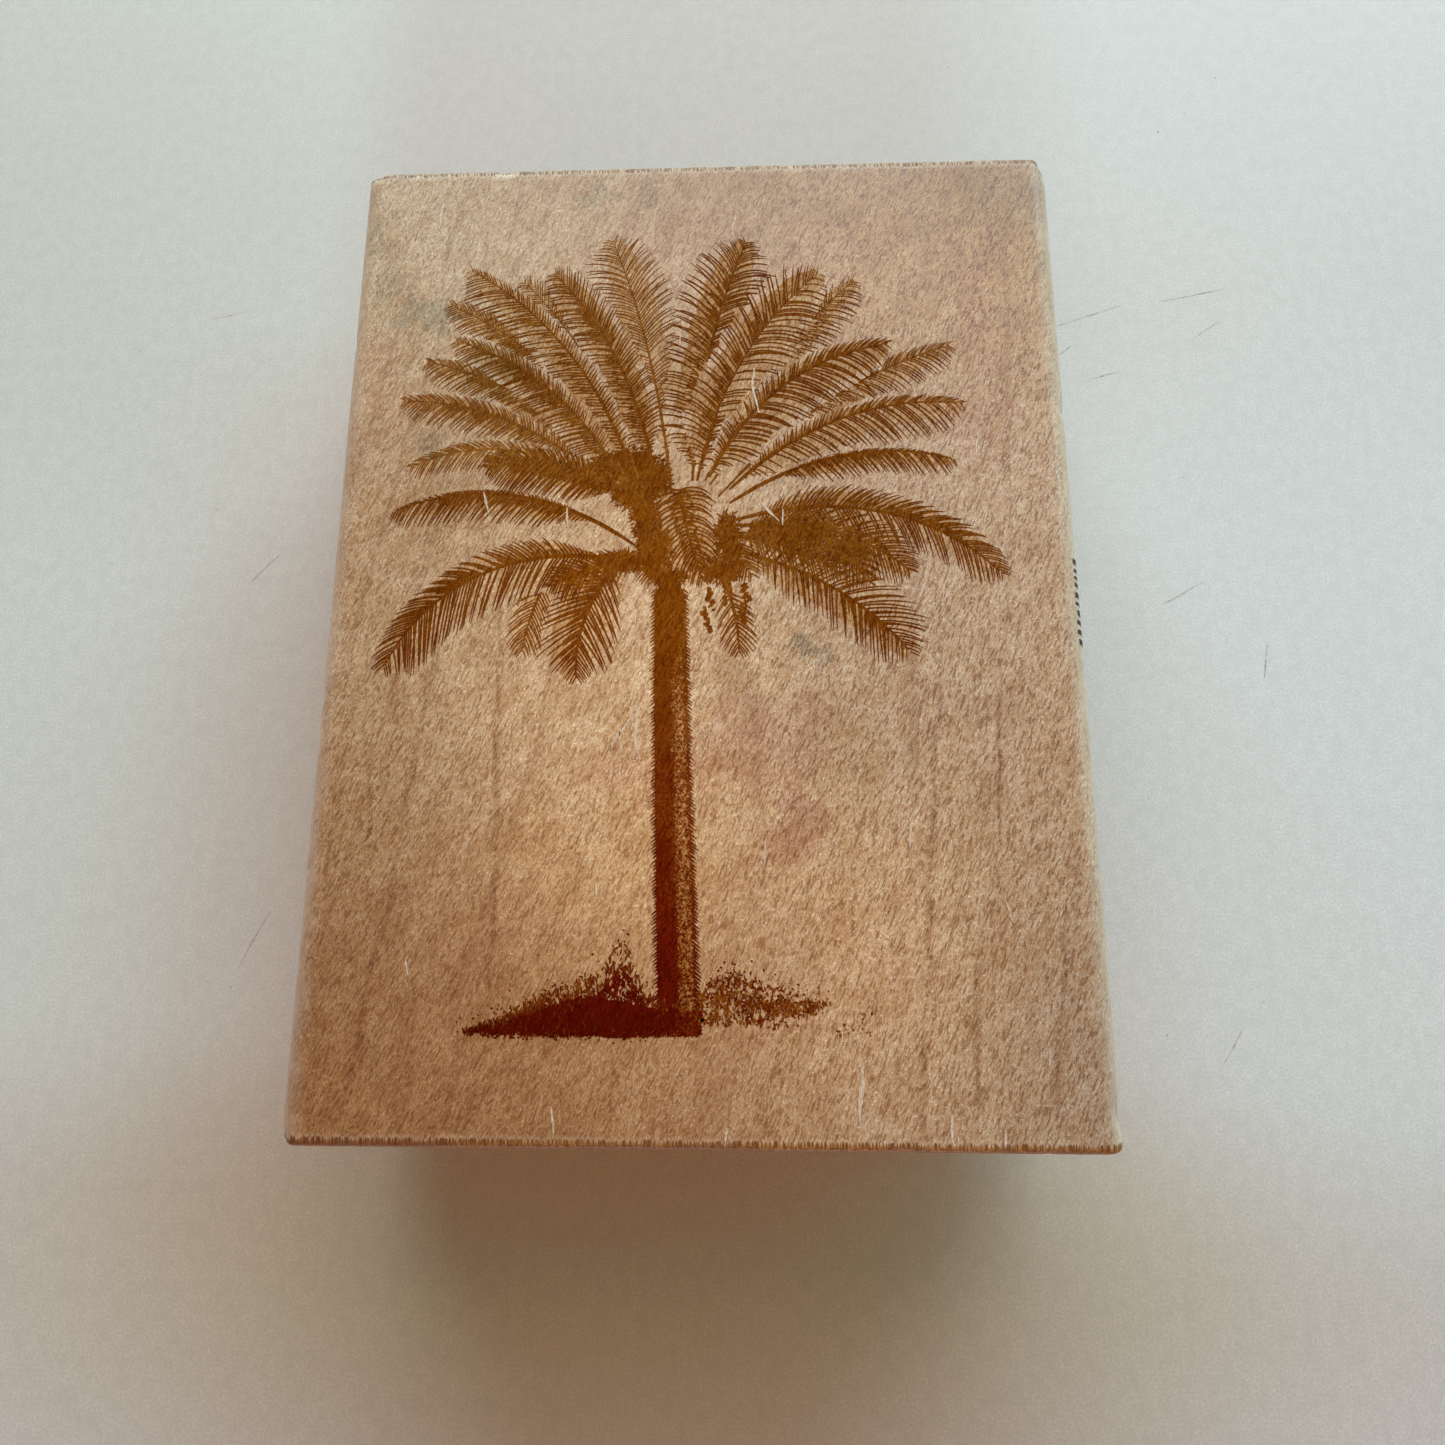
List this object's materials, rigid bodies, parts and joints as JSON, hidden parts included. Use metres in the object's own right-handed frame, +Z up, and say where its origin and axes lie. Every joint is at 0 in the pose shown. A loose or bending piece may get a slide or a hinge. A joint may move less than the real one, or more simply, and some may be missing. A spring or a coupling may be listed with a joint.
{
  "type": "wood-mounted rubber stamp",
  "caption": "Flat wooden stamp block with rounded long edges and finger grooves, an inked palm tree on top, and a foam-backed rubber die below.",
  "frame": {"origin": "middle of the block's footprint, in the plane of the printing face the stamp stands on", "axes": "+Z up through the stack from the die to the wooden block, +Y along the block and its grain towards the top of the picture, +X to the right seen from above"},
  "size_m": [0.076, 0.1016, 0.0259],
  "materials": {
    "maple": "thin satin lacquer, worn",
    "print_ink": "flat stamped ink",
    "adhesive": "tacky film",
    "foam": "closed-cell foam, cut edge",
    "die_rubber": "matt moulded rubber"
  },
  "bodies": {
    "root": {"wood_block": "maple", "index_print": "print_ink", "upper_adhesive_film": "adhesive", "foam_cushion": "foam", "lower_adhesive_film": "adhesive", "rubber_die": "die_rubber"}
  },
  "joints": []
}
